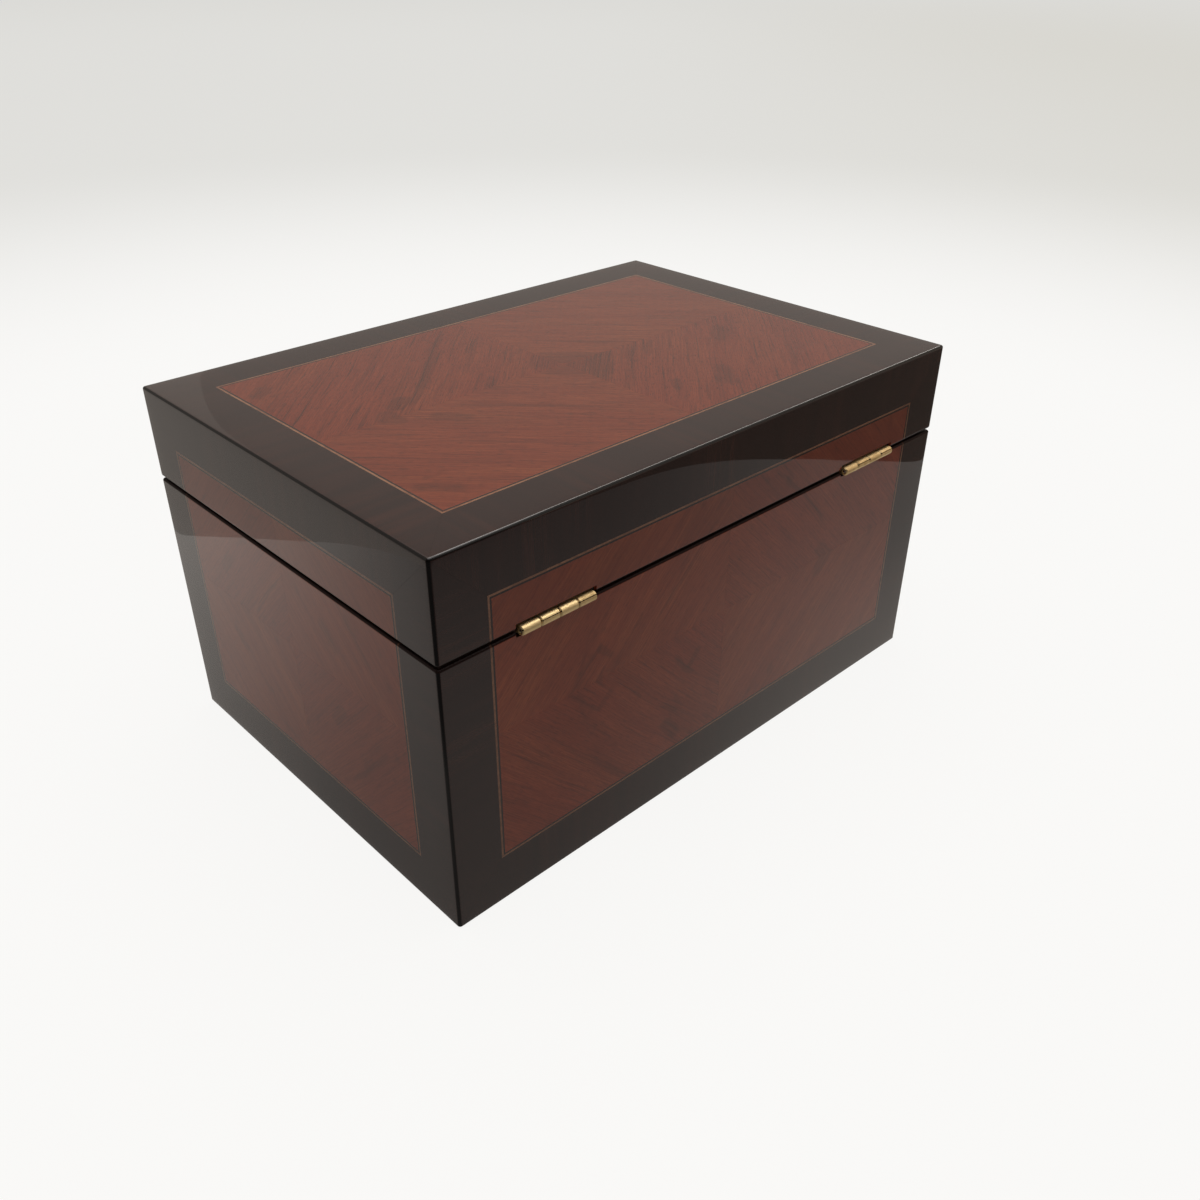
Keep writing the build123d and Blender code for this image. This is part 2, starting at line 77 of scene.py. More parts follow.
# Node helpers: a bench holds one material's nodes, and each call returns an output socket
class Bench:
    def __init__(self, name, finish):
        self.material = bpy.data.materials.new(name)
        self.material.use_nodes = True
        self.tree = self.material.node_tree
        self.shader = self.tree.nodes["Principled BSDF"]
        for socket, value in finish.items():
            self.shader.inputs[socket].default_value = value

    def add(self, kind, **settings):
        node = self.tree.nodes.new("ShaderNode" + kind)
        for setting, value in settings.items():
            setattr(node, setting, value)
        return node

    def feed(self, socket, value):
        if isinstance(value, bpy.types.NodeSocket):
            self.tree.links.new(value, socket)
        elif hasattr(value, "__len__") and socket.type == "RGBA" and len(value) == 3:
            socket.default_value = (*value, 1)
        else:
            socket.default_value = value

    def place(self, output="Object"):
        return self.add("TexCoord").outputs[output]

    def split(self, vector):
        node = self.add("SeparateXYZ")
        self.feed(node.inputs[0], vector)
        return node.outputs

    def join(self, x, y, z=0.0):
        node = self.add("CombineXYZ")
        for socket, value in zip(node.inputs, (x, y, z)):
            self.feed(socket, value)
        return node.outputs[0]

    def calc(self, operation, *values):
        node = self.add("Math", operation=operation)
        for socket, value in zip(node.inputs, values):
            self.feed(socket, value)
        return node.outputs[0]

    def plus(self, first, second):
        return self.calc("ADD", first, second)

    def minus(self, first, second):
        return self.calc("SUBTRACT", first, second)

    def times(self, first, second):
        return self.calc("MULTIPLY", first, second)

    def size(self, value):
        return self.calc("ABSOLUTE", value)

    def weigh(self, first, second, share=0.6):
        return self.plus(self.times(first, share), self.times(second, 1 - share))

    def stretch(self, vector, factors):
        node = self.add("VectorMath", operation="MULTIPLY")
        self.feed(node.inputs[0], vector)
        node.inputs[1].default_value = factors
        return node.outputs[0]

    def turn(self, vector, degrees, moved=(0, 0, 0)):
        node = self.add("Mapping")
        self.feed(node.inputs["Vector"], vector)
        node.inputs["Rotation"].default_value = [math.radians(angle) for angle in degrees]
        node.inputs["Location"].default_value = moved
        return node.outputs[0]

    def grain(self, vector, scale=1.0, detail=2.0, roughness=0.5, distortion=0.0):
        node = self.add("TexNoise")
        self.feed(node.inputs["Vector"], vector)
        self.feed(node.inputs["Scale"], scale)
        self.feed(node.inputs["Detail"], detail)
        self.feed(node.inputs["Roughness"], roughness)
        self.feed(node.inputs["Distortion"], distortion)
        return node.outputs[0]

    def fibres(self, vector, factors, detail, roughness=0.5):
        return self.grain(self.stretch(vector, factors), 1.0, detail, roughness)

    def ease(self, value, low, high, fromValue=0.0, toValue=1.0):
        node = self.add("MapRange", interpolation_type="SMOOTHSTEP")
        for socket, part in zip(node.inputs, (value, low, high, fromValue, toValue)):
            self.feed(socket, part)
        return node.outputs[0]

    def blend(self, factor, first, second):
        node = self.add("Mix", data_type="RGBA")
        self.feed(node.inputs["Factor"], factor)
        self.feed(node.inputs["A"], first)
        self.feed(node.inputs["B"], second)
        return node.outputs["Result"]

    def bump(self, height, distance, strength=1.0):
        node = self.add("Bump")
        self.feed(node.inputs["Height"], height)
        self.feed(node.inputs["Distance"], distance)
        self.feed(node.inputs["Strength"], strength)
        return node.outputs[0]

    def paint(self, socket, value):
        self.feed(self.shader.inputs[socket], value)

    def shadeless(self, colour, strength=1.0):
        node = self.add("Emission")
        self.feed(node.inputs["Color"], colour)
        self.feed(node.inputs["Strength"], strength)
        return node.outputs[0]

    def mixShaders(self, factor, first, second):
        node = self.add("MixShader")
        for socket, value in zip(node.inputs, (factor, first, second)):
            self.feed(socket, value)
        return node.outputs[0]

    def show(self, surface):
        self.tree.links.new(surface, self.tree.nodes["Material Output"].inputs["Surface"])


# Lacquer: a polished film over the wood, never quite flat
lacquer = {
    "Coat Weight": 1.0,
    "Coat Roughness": 0.02,
    "Coat IOR": 1.5,
    "Specular IOR Level": 0.04,
    "Roughness": 0.5,
}
film = {
    "waveScale": 26.0,
    "waveHeight": 0.06 * mm,
    "rollOff": ((0.22 * mm, 5.2 * mm), (0.16 * mm, 0.8 * mm)),    # how far it thins at an edge, and how soon
}


def bumpFilm(bench, edges=()):
    height = bench.times(bench.grain(bench.place(), film["waveScale"], 1.0), film["waveHeight"])
    for away in edges:
        for drop, reach in film["rollOff"]:
            fallen = bench.calc("EXPONENT", bench.calc("DIVIDE", away, -reach))
            height = bench.minus(height, bench.times(fallen, drop))
    bench.paint("Coat Normal", bench.bump(height, 1.0))


def faceSpot(bench, settings):
    # u along the face and v up it, from its middle, and the height over the floor
    spot = bench.split(bench.place())
    first, second = settings["axes"]
    u = bench.minus(spot[first], settings["middle"][0])
    v = bench.minus(spot[second], settings["middle"][1])
    return u, v, spot[2]


# Panel veneer: four leaves whose grain lines make diamonds round the middle of each face;
# across and along are measured from the middle, square to the grain and along it
panelLook = {
    "ground": (0.200, 0.0350, 0.0135),
    "amber": (0.232, 0.052, 0.018),
    "deep": (0.134, 0.0205, 0.0085),
    "streak": (0.036, 0.009, 0.005),
    # edge: stain and painted shade for the rim at the seam
    "edge": (0.014, 0.0055, 0.0042),
    "apart": 5.0,              # between the noises of the left and the right leaves
    "strayScale": 14.0,
    "stray": 2.2 * mm,         # how far a grain line strays
    "driftScale": 42.0,
    "driftSeed": 1.5,
    "drift": 3.0 * mm,         # how far a dark mark does
    "lidPaintedShade": 0.20,          # painted shade: the lid's sides are a little darker than the base's
    # painted sheen: the turned leaves' warmth stands in for the way their fibres catch the light
    "turnedSheenWarmth": 0.45,      # two opposite leaves are turned over: warmer,
    "turnedCalm": 0.35,        # and with fainter streaks
    "blockWeight": 0.22,
    "ragged": (1.5, 0.25),     # how the blocks fray a dark mark
    "markEdge": (1.3, 0.1),
    "markPower": 4.0,
    "leafEdge": 0.6 * mm,
}
# noises of a leaf: how often they change along and across the grain, detail and roughness
panelNoises = {
    "cloud": ((11, 55, 1), 2.0, 0.5),
    "broad": ((14, 190, 1), 4.0, 0.65),
    "streaks": ((22, 800, 1), 3.0, 0.65),
    "lines": ((48, 2400, 1), 2.0, 0.6),
    "threads": ((20, 1700, 1), 2.0, 0.6),
    "warmth": ((8, 30, 1), 1.0, 0.5),
    "pores": ((240, 5200, 1), 1.0, 0.5),
    "blocks": ((85, 150, 1), 1.0, 0.5),
}
# ramps: noise, where it starts to show and where it shows most, its weight at both,
# and what the face's strength adds to the second
panelRamps = {
    "warm": ("warmth", 0.42, 0.66, 0.0, 0.6, 0.0),
    "broad": ("broad", 0.38, 0.72, 0.0, 0.5, 0.0),
    "cloudy": ("cloud", 0.40, 0.75, 0.0, 0.35, 0.0),
    "lined": ("lines", 0.38, 0.62, 0.0, 0.2, 0.6),
    "streaked": ("streaks", 0.52, 0.74, 0.0, 0.68, 0.0),
    "threads": ("threads", 0.52, 0.70, 0.0, 1.0, 0.0),
    "threadZone": ("cloud", 0.40, 0.62, 0.14, 0.52, 0.0),
    "blocks": ("blocks", 0.60, 0.70, 0.0, 1.0, 0.0),
    "blockZone": ("cloud", 0.5, 0.62, 0.0, 1.0, 0.0),
    "porous": ("pores", 0.56, 0.70, 0.0, 0.0, 0.75),
    "fibrous": ("streaks", 0.30, 0.60, 0.45, 1.0, 0.0),
}
# figure: side of u, side of v, across, along, half across, half along (mm) and depth; a side of 0 means both
panelFaces = {
    "top": {
        "axes": (0, 1), "middle": (0.0, 0.0), "seed": 3.0, "strength": 1.0,
        "figure": [
            (-1, 1, 17.5, 0, 6, 23, 0.46), (-1, 1, 6, 0, 8, 12, 0.26), (-1, -1, 9, 2, 8, 17, 0.32),
            (1, 1, 7, -2, 8, 12, 0.26), (1, -1, 8, -4, 8, 12, 0.28), (1, -1, 32, 22, 1.8, 7, 0.38),
            (-1, 1, 31, -4, 2.2, 36, 0.20), (-1, -1, 33, 4, 1.8, 22, 0.20), (-1, 1, 40, 26, 2.4, 11, 0.32),
            (-1, 1, 51, -23, 2.4, 8, 0.38),
            (1, -1, 61, 6, 2.4, 50, 0.40), (1, 1, 50, 10, 2.0, 34, 0.28), (1, -1, 44, -12, 1.8, 26, 0.22),
            (1, 1, 64, 42, 4.5, 10, 0.34), (1, -1, 66, 50, 4.5, 9, 0.42), (1, 0, 68, 66, 4.5, 7, 0.36),
            (-1, 1, 75, 48, 4.5, 13, 0.38), (-1, -1, 71, 49, 3.5, 10, 0.22), (-1, 1, 73, -9, 5.0, 13, 0.38),
            (-1, -1, 58, 8, 1.6, 24, 0.18), (1, 1, 129, 38, 4.0, 11, 0.38), (1, -1, 128, 40, 4.0, 8, 0.36),
            (1, 0, 88, 12, 1.2, 34, 0.25), (-1, 1, 106, 12, 1.6, 30, 0.25),
        ],
    },
    "back": {
        "axes": (0, 2), "middle": (0.0, 0.0854), "seed": 11.0, "strength": 0.75,
        "figure": [
            (1, 1, 65, 53, 1.6, 12, 0.38), (1, -1, 65, 54, 1.6, 11, 0.36), (1, 1, 60, 43, 6.5, 1.8, 0.30),
            (1, -1, 60, 43, 6.5, 1.8, 0.24), (1, 1, 50, 44, 1.8, 6, 0.14), (1, -1, 57, -11, 3.5, 8, 0.45),
            (1, -1, 49, -2, 1.4, 8, 0.35), (1, -1, 30, 4, 1.8, 9, 0.40), (1, -1, 24, 2, 5.5, 2.0, 0.35),
            (-1, 0, 52, 50, 4.5, 10, 0.30), (-1, 1, 97, 87, 3.5, 9, 0.28), (-1, 1, 62, 8, 1.3, 30, 0.40),
            (1, -1, 84, 20, 1.3, 30, 0.30), (1, 1, 40, -4, 1.2, 26, 0.30),
        ],
    },
    "front": {
        "axes": (0, 2), "middle": (0.0, 0.0854), "seed": 19.0, "strength": 0.75,
        "figure": [
            (1, 0, 44, 10, 3.5, 9, 0.40), (-1, 0, 64, 35, 3.5, 10, 0.45), (1, 1, 88, 52, 3.5, 8, 0.40),
            (-1, 1, 30, -4, 1.4, 24, 0.45), (1, -1, 62, 20, 1.3, 28, 0.40), (-1, -1, 46, 8, 1.3, 24, 0.35),
            (-1, 1, 22, 6, 6.0, 1.8, 0.35),
        ],
    },
    "right": {
        "axes": (1, 2), "middle": (0.0, 0.0854), "seed": 27.0, "strength": 0.5,
        "figure": [
            (1, 0, 36, 8, 3.0, 9, 0.30), (-1, 0, 50, 22, 3.0, 8, 0.25), (-1, 1, 24, 0, 1.2, 18, 0.30),
            (1, -1, 60, 10, 1.2, 24, 0.35), (1, 1, 56, 16, 1.2, 18, 0.25),
        ],
    },
    "left": {
        "axes": (1, 2), "middle": (0.0, 0.0854), "seed": 35.0, "strength": 0.5,
        "figure": [
            (-1, 0, 40, 12, 3.0, 8, 0.35), (1, 0, 52, 18, 3.0, 7, 0.35), (1, 1, 28, 2, 1.2, 20, 0.35),
            (-1, -1, 66, 12, 1.2, 24, 0.35),
        ],
    },
}


# the edges of a side veneer are darkened, with little lacquer, where they round off into the seam: partly a
# stain on the veneer's edges, partly painted shade where lid and base meet
rimLook = {"seam": 126.7 * mm, "reach": 2.6 * mm, "rounding": (0.04, 0.40), "bare": 0.93}


def stainedAndShadedSeam(bench, colour, edge, height, thinned=0.0):
    upright = bench.size(bench.split(bench.place("Normal"))[2])
    atSeam = bench.calc("LESS_THAN", bench.size(bench.minus(height, rimLook["seam"])), rimLook["reach"])
    rounded = bench.times(bench.ease(upright, *rimLook["rounding"]), atSeam)
    bare = bench.calc("MAXIMUM", bench.times(rounded, rimLook["bare"]), thinned)
    bench.paint("Coat Weight", bench.minus(1.0, bare))
    # stain and painted shade: the rim near the seam is blended to the edge colour
    return bench.blend(rounded, colour, edge)


def panelVeneer(face, settings):
    bench = Bench("panelVeneer_" + face, lacquer)
    u, v, height = faceSpot(bench, settings)
    strength = settings["strength"]
    uSize, vSize = bench.size(u), bench.size(v)
    seed = bench.plus(bench.times(bench.calc("SIGN", u), panelLook["apart"]), settings["seed"])
    stray = bench.grain(bench.join(uSize, vSize, seed), panelLook["strayScale"], 2.0)
    stray = bench.times(bench.minus(stray, 0.5), 2 * panelLook["stray"])
    across = bench.plus(bench.times(bench.plus(uSize, vSize), math.sqrt(0.5)), stray)
    along = bench.times(bench.minus(uSize, vSize), math.sqrt(0.5))
    leaf = bench.join(along, across, seed)
    noises = {name: bench.fibres(leaf, *pattern) for name, pattern in panelNoises.items()}

    def ramp(name):
        source, start, full, least, most, added = panelRamps[name]
        return bench.ease(noises[source], start, full, least, most + added * strength)

    turned = bench.calc("GREATER_THAN", bench.times(u, v), 0.0)
    strong = bench.minus(strength, bench.times(turned, panelLook["turnedCalm"] * strength))
    # painted sheen: the turned leaves are made warmer for how their fibres catch the light
    amber = bench.plus(ramp("warm"), bench.times(turned, panelLook["turnedSheenWarmth"]))
    colour = bench.blend(amber, panelLook["ground"], panelLook["amber"])
    layers = [
        ("deep", ramp("broad")),
        ("deep", ramp("cloudy")),
        ("deep", ramp("lined")),
        ("streak", bench.times(ramp("streaked"), strong)),
        ("streak", bench.times(bench.times(ramp("threads"), ramp("threadZone")), strong)),
        ("streak", bench.times(bench.times(ramp("blocks"), ramp("blockZone")), panelLook["blockWeight"])),
        ("streak", ramp("porous")),
    ]
    for tone, weight in layers:
        colour = bench.blend(weight, colour, panelLook[tone])

    # the marks drift a little, so that no leaf repeats its neighbour exactly
    faceAt = bench.join(u, v, settings["seed"] + panelLook["driftSeed"])
    drift = bench.grain(faceAt, panelLook["driftScale"], 2.0)
    drift = bench.times(bench.minus(drift, 0.5), 2 * panelLook["drift"])
    markAcross, markAlong = bench.plus(across, drift), bench.minus(along, drift)
    ragged = bench.plus(bench.times(noises["blocks"], panelLook["ragged"][0]), panelLook["ragged"][1])
    fibrous = ramp("fibrous")
    for uSide, vSide, acrossAt, alongAt, acrossHalf, alongHalf, depth in settings["figure"]:
        away = bench.calc("DIVIDE", bench.minus(markAcross, acrossAt * mm), acrossHalf * mm)
        beyond = bench.calc("DIVIDE", bench.minus(markAlong, alongAt * mm), alongHalf * mm)
        reach = bench.plus(*(bench.calc("POWER", part, panelLook["markPower"]) for part in (away, beyond)))
        mark = bench.ease(bench.times(reach, ragged), *panelLook["markEdge"], 0.0, depth)
        for distance, side in ((u, uSide), (v, vSide)):
            if side:
                inLeaf = bench.ease(bench.times(distance, float(side)), 0.0, panelLook["leafEdge"])
                mark = bench.times(mark, inLeaf)
        colour = bench.blend(bench.times(mark, fibrous), colour, panelLook["streak"])

    if face != "top":
        # painted shade: the lid's part of each side is blended towards the streak colour
        onLid = bench.calc("GREATER_THAN", height, rimLook["seam"])
        colour = bench.blend(bench.times(onLid, panelLook["lidPaintedShade"]), colour, panelLook["streak"])
        colour = stainedAndShadedSeam(bench, colour, panelLook["edge"], height)
    bench.paint("Base Color", colour)
    bumpFilm(bench)
    return bench.material


# Border veneer: crossbanding, so the grain runs across each strip and the strips meet in mitres
borderLook = {
    "ground": (0.0175, 0.0055, 0.0040),
    "warm": (0.036, 0.0105, 0.0065),
    "pore": (0.008, 0.004, 0.0035),
    # edge: stain and painted shade for the rim at the seam
    "edge": (0.012, 0.0055, 0.0045),
    # painted reflection: darkest tone for the rounded corners
    "corner": (0.0025, 0.0012, 0.0010),
    "cornerTurn": (0.99, 0.93),    # the normal's largest part where a corner starts to round off, and past it
    "cornerBare": 0.50,            # how much the lacquer is thinned on the corners, dimming their reflection
    "endSeed": 3.0,
}
borderNoises = {
    "slow": ((9, 34, 1), 2.0, 0.5),
    "bands": ((12, 220, 1), 3.0, 0.6),
    "lines": ((45, 1500, 1), 3.0, 0.6),
    "pores": ((260, 5200, 1), 1.0, 0.5),
}
borderRamps = {"shade": (0.38, 0.66), "slow": (0.35, 0.70, 0.15, 1.0), "pores": (0.60, 0.72, 0.0, 0.5)}
borderHalves = {    # half the width and half the height of each face, in mm
    "top": (152.5, 104.5),
    "back": (152.5, 84.6),
    "front": (152.5, 84.6),
    "right": (104.5, 84.6),
    "left": (104.5, 84.6),
}


def borderVeneer(face, settings):
    bench = Bench("borderVeneer_" + face, lacquer)
    u, v, height = faceSpot(bench, settings)
    uHalf, vHalf = borderHalves[face]
    fromEnd = bench.minus(uHalf * mm, bench.size(u))
    fromSide = bench.minus(vHalf * mm, bench.size(v))
    isEnd = bench.calc("LESS_THAN", fromEnd, fromSide)
    isSide = bench.minus(1.0, isEnd)
    alongStrip = bench.plus(bench.times(isEnd, v), bench.times(isSide, u))
    acrossStrip = bench.plus(bench.times(isEnd, u), bench.times(isSide, v))
    seed = bench.plus(bench.times(isEnd, borderLook["endSeed"]), settings["seed"])
    strip = bench.join(acrossStrip, alongStrip, seed)
    noises = {name: bench.fibres(strip, *pattern) for name, pattern in borderNoises.items()}
    noises["shade"] = bench.weigh(noises["bands"], noises["lines"])
    shade, slow, pores = [bench.ease(noises[name], *ramp) for name, ramp in borderRamps.items()]
    colour = bench.blend(bench.times(shade, slow), borderLook["ground"], borderLook["warm"])
    colour = bench.blend(pores, colour, borderLook["pore"])
    # painted reflection: the corners are darkened where they round off, for the dark surroundings they mirror
    parts = [bench.size(part) for part in bench.split(bench.place("Normal"))]
    flattest = bench.calc("MAXIMUM", bench.calc("MAXIMUM", parts[0], parts[1]), parts[2])
    rounded = bench.ease(flattest, *borderLook["cornerTurn"])
    colour = bench.blend(rounded, colour, borderLook["corner"])
    thinned = bench.times(rounded, borderLook["cornerBare"])
    if face == "top":
        bench.paint("Coat Weight", bench.minus(1.0, thinned))
    else:
        colour = stainedAndShadedSeam(bench, colour, borderLook["edge"], height, thinned)
    bench.paint("Base Color", colour)
    bumpFilm(bench, (fromEnd, fromSide))
    return bench.material


# Stringing: a thin pale line outside a thin dark one
stringingLooks = {
    # edge: painted shade on the upright sides, and stain and painted shade at the seam
    "light_stringing": {
        "ground": (0.27, 0.122, 0.065), "shade": (0.17, 0.070, 0.037), "edge": (0.050, 0.022, 0.013),
    },
    "dark_stringing": {
        "ground": (0.022, 0.008, 0.006), "shade": (0.034, 0.011, 0.008), "edge": (0.012, 0.0055, 0.0045),
    },
}
stringingGrains = {"fleck": (420.0, 3.0, 0.6), "slow": (40.0, 1.0)}
stringingRamps = {"fleck": (0.38, 0.62), "side": (0.3, 0.7, 0.38, 0.0)}    # painted shade: it is darker on the upright sides


def stringing(name, look):
    bench = Bench(name, lacquer)
    spot = bench.place()
    fleck, slow = [bench.grain(spot, *grain) for grain in stringingGrains.values()]
    flecked = bench.ease(bench.weigh(fleck, slow), *stringingRamps["fleck"])
    colour = bench.blend(flecked, look["ground"], look["shade"])
    upright = bench.size(bench.split(bench.place("Normal"))[2])
    # painted shade: the upright sides are blended towards the edge colour
    colour = bench.blend(bench.ease(upright, *stringingRamps["side"]), colour, look["edge"])
    bench.paint("Base Color", stainedAndShadedSeam(bench, colour, look["edge"], bench.split(spot)[2]))
    bumpFilm(bench)
    return bench.material


# Core boards: stained dark where the rims show, with the grain along each board
coreLook = {
    "ground": (0.060, 0.030, 0.022), "shade": (0.022, 0.011, 0.009), "pore": (0.010, 0.005, 0.004),
    "across": 620.0, "along": 14.0, "broader": 9, "finer": 5, "depth": 0.04 * mm,
}
coreRamps = {
    "broad": (0.35, 0.65), "lines": (0.52, 0.72, 0.0, 0.7), "pores": (0.60, 0.70, 0.0, 0.8),
    "roughness": (0.3, 0.7, 0.38, 0.56),
}


def stainedBoard(name, lengthAxis, seed):
    bench = Bench(name, {"Roughness": 0.45, "Specular IOR Level": 0.4})
    spot = bench.turn(bench.place(), (0, 0, 0), (seed, seed, seed))

    def factors(across, along):
        return [along if axis == lengthAxis else across for axis in range(3)]

    across, along, finer = coreLook["across"], coreLook["along"], coreLook["finer"]
    broad = bench.fibres(spot, factors(across / coreLook["broader"], along), 2.0)
    lines = bench.fibres(spot, factors(across, along), 3.0, 0.6)
    pores = bench.fibres(spot, factors(across * finer, along * finer), 1.0)
    colour = bench.blend(bench.ease(broad, *coreRamps["broad"]), coreLook["ground"], coreLook["shade"])
    colour = bench.blend(bench.ease(lines, *coreRamps["lines"]), colour, coreLook["shade"])
    colour = bench.blend(bench.ease(pores, *coreRamps["pores"]), colour, coreLook["pore"])
    bench.paint("Base Color", colour)
    bench.paint("Roughness", bench.ease(lines, *coreRamps["roughness"]))
    bench.paint("Normal", bench.bump(lines, coreLook["depth"], 0.5))
    return bench.material


# Metals
metalLooks = {
    "brass": {
        "bright": (0.93, 0.71, 0.38), "dull": (0.58, 0.40, 0.18), "smooth": 0.48, "rough": 0.62,
        "scratch": 0.016 * mm, "along": (120.0, 1500.0, 1500.0),
    },
    "screw_brass": {
        "bright": (0.76, 0.57, 0.29), "dull": (0.50, 0.35, 0.17), "smooth": 0.22, "rough": 0.42,
        "scratch": 0.010 * mm, "along": (900.0, 900.0, 200.0),
    },
    "steel": {
        "bright": (0.58, 0.57, 0.55), "dull": (0.36, 0.35, 0.34), "smooth": 0.24, "rough": 0.42,
        "scratch": 0.010 * mm, "along": (1200.0, 1200.0, 60.0),
    },
}
metalWear = {
    "tarnish": (130.0, 3.0, 0.6), "lines": (3.0, 0.6), "askewLines": (2.0, 0.6),
    "tarnished": (0.46, 0.72), "scratched": (0.60, 0.70), "scratchedAskew": (0.64, 0.72),
    "askew": (12, 24, 33),     # degrees that the second set of scratches is turned by
    "tarnishTone": 0.55, "scratchTone": 0.45, "tarnishRough": 0.7,
}
# the slot where a rolled knuckle closes, measured from the hinge pins
rollLook = {
    "pin": (104.8 * mm, 126.7 * mm),
    "angle": 33,
    "barrel": 2.0 * mm,
    "halfWidth": 0.24 * mm,
    "depth": (0.75, 0.985),    # from and to which share of the barrel's radius
    "dirt": (0.05, 0.032, 0.018),
}


def rollSeam(bench):
    spot = bench.split(bench.place())
    y = bench.minus(spot[1], rollLook["pin"][0])
    z = bench.minus(spot[2], rollLook["pin"][1])
    angle = math.radians(rollLook["angle"])
    out = bench.plus(bench.times(y, math.cos(angle)), bench.times(z, math.sin(angle)))
    aside = bench.minus(bench.times(z, math.cos(angle)), bench.times(y, math.sin(angle)))
    inSlot = bench.calc("LESS_THAN", bench.size(aside), rollLook["halfWidth"])
    nearest, furthest = [rollLook["barrel"] * share for share in rollLook["depth"]]
    outside = bench.calc("GREATER_THAN", out, nearest)
    radius = bench.calc("SQRT", bench.plus(bench.calc("POWER", out, 2.0), bench.calc("POWER", aside, 2.0)))
    below = bench.calc("LESS_THAN", radius, furthest)
    return bench.times(bench.times(inSlot, outside), below)


def metal(name, look):
    bench = Bench(name, {"Metallic": 1.0})
    spot = bench.place()
    tarnish = bench.ease(bench.grain(spot, *metalWear["tarnish"]), *metalWear["tarnished"])
    lines = bench.ease(bench.fibres(spot, look["along"], *metalWear["lines"]), *metalWear["scratched"])
    askew = bench.fibres(bench.turn(spot, metalWear["askew"]), look["along"], *metalWear["askewLines"])
    scratches = bench.calc("MAXIMUM", lines, bench.ease(askew, *metalWear["scratchedAskew"]))
    colour = bench.blend(bench.times(tarnish, metalWear["tarnishTone"]), look["bright"], look["dull"])
    colour = bench.blend(bench.times(scratches, metalWear["scratchTone"]), colour, look["dull"])
    if name == "brass":
        colour = bench.blend(rollSeam(bench), colour, rollLook["dirt"])
    bench.paint("Base Color", colour)
    worn = bench.calc("MAXIMUM", bench.times(tarnish, metalWear["tarnishRough"]), scratches)
    bench.paint("Roughness", bench.ease(worn, 0.0, 1.0, look["smooth"], look["rough"]))
    bench.paint("Normal", bench.bump(bench.minus(1.0, scratches), look["scratch"]))
    return bench.material


# Suede cloth and felt
clothLooks = {
    "suede": {
        "ground": (0.47, 0.345, 0.225), "shade": (0.36, 0.255, 0.16), "nap": (0.56, 0.43, 0.30),
        "sheen": 0.45, "fibre": 2600.0, "brush": 38.0, "depth": 0.12 * mm,
    },
    "felt": {
        "ground": (0.032, 0.030, 0.028), "shade": (0.018, 0.017, 0.016), "nap": (0.050, 0.047, 0.044),
        "sheen": 0.15, "fibre": 1700.0, "brush": 60.0, "depth": 0.16 * mm,
    },
}
clothWeave = {
    "tuftTurn": (0, 0, 28), "tuftStretch": (1.0, 0.45, 1.0), "fibresPerTuft": 3, "brushTurn": (0, 0, 12),
    "brushed": (0.36, 0.64), "tufted": (0.45, 0.75, 0.0, 0.35), "fibrous": (0.55, 0.78, 0.0, 0.6),
}


def cloth(name, look):
    bench = Bench(name, {
        "Roughness": 0.95, "Specular IOR Level": 0.15, "Sheen Weight": look["sheen"],
        "Sheen Roughness": 0.4, "Sheen Tint": (1.0, 0.93, 0.84, 1.0),
    })
    spot = bench.place()
    fibres = bench.grain(spot, look["fibre"], 3.0, 0.7)
    tufts = bench.stretch(bench.turn(spot, clothWeave["tuftTurn"]), clothWeave["tuftStretch"])
    tufts = bench.grain(tufts, look["fibre"] / clothWeave["fibresPerTuft"], 2.0, 0.6)
    brushed = bench.grain(bench.turn(spot, clothWeave["brushTurn"]), look["brush"], 3.0, 0.55, 0.8)
    colour = bench.blend(bench.ease(brushed, *clothWeave["brushed"]), look["ground"], look["nap"])
    colour = bench.blend(bench.ease(tufts, *clothWeave["tufted"]), colour, look["shade"])
    colour = bench.blend(bench.ease(fibres, *clothWeave["fibrous"]), colour, look["shade"])
    bench.paint("Base Color", colour)
    bench.paint("Normal", bench.bump(bench.weigh(fibres, tufts), look["depth"]))
    return bench.material


panelMaterials = {face: panelVeneer(face, settings) for face, settings in panelFaces.items()}
borderMaterials = {face: borderVeneer(face, settings) for face, settings in panelFaces.items()}
clothMaterials = {name: cloth(name, look) for name, look in clothLooks.items()}
plainMaterials = {
    **{name: stringing(name, look) for name, look in stringingLooks.items()},
    **{name: metal(name, look) for name, look in metalLooks.items()},
    **clothMaterials,
}
boardAlongX = stainedBoard("stainedBoardAlongX", 0, 2.0)
boardAlongY = stainedBoard("stainedBoardAlongY", 1, 7.0)


def facing(nodeName):
    for face in panelFaces:
        if "_" + face + "_" in nodeName:
            return face


def materialFor(nodeName, slotName):
    if slotName == "panel_veneer":
        return panelMaterials[facing(nodeName)]
    if slotName == "border_veneer":
        return borderMaterials[facing(nodeName)]
    if slotName == "stained_core":
        return boardAlongY if facing(nodeName) in ("left", "right") else boardAlongX
    return plainMaterials[slotName]


for nodeName, node in nodes.items():
    slot = node.material_slots[0]
    slot.material = materialFor(nodeName, slot.material.name)
print("finishes on", len(nodes), "nodes")


# Mesh helpers
def toMesh(build, name):
    mesh = bpy.data.meshes.new(name)
    build.to_mesh(mesh)
    build.free()
    return mesh


def flatGrid(wide, deep, cell, inset=0.0):
    build = bmesh.new()
    bmesh.ops.create_grid(build, x_segments=round(wide / cell), y_segments=round(deep / cell), size=0.5)
    bmesh.ops.scale(build, verts=build.verts[:], vec=(wide - 2 * inset, deep - 2 * inset, 1))
    return build


